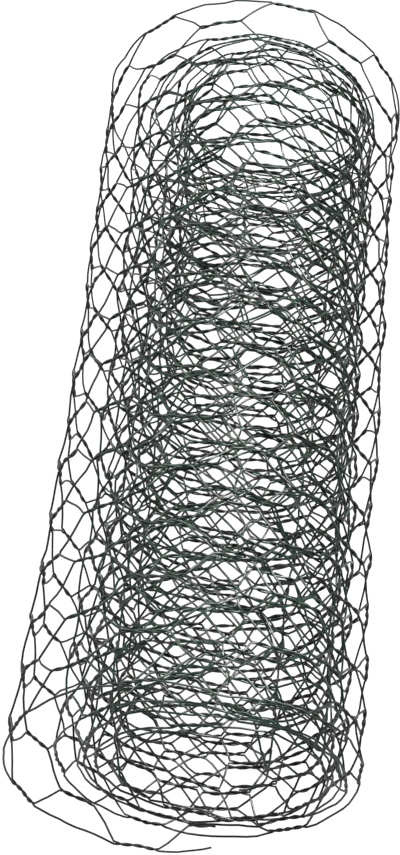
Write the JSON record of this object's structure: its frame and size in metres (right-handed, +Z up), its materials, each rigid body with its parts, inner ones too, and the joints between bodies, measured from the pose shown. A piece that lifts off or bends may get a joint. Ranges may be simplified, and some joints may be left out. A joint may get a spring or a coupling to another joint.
{
  "type": "roll of hexagonal wire netting",
  "caption": "Loose roll of green plastic-coated hexagonal wire netting, lying on its side, wound in spaced turns round an open bore, for pens, fences and plant guards.",
  "frame": {"origin": "on the floor under the middle of the roll, which lies on its side", "axes": "+Y along the roll's axis, from the end where the netting's free end shows at the bottom to the other end, +X across the roll, +Z up"},
  "size_m": [0.14, 0.35, 0.14],
  "materials": {
    "coated_wire": "dark green PVC over galvanised steel wire, semi-gloss"
  },
  "bodies": {
    "root": {"netting_roll": "coated_wire"}
  },
  "joints": []
}
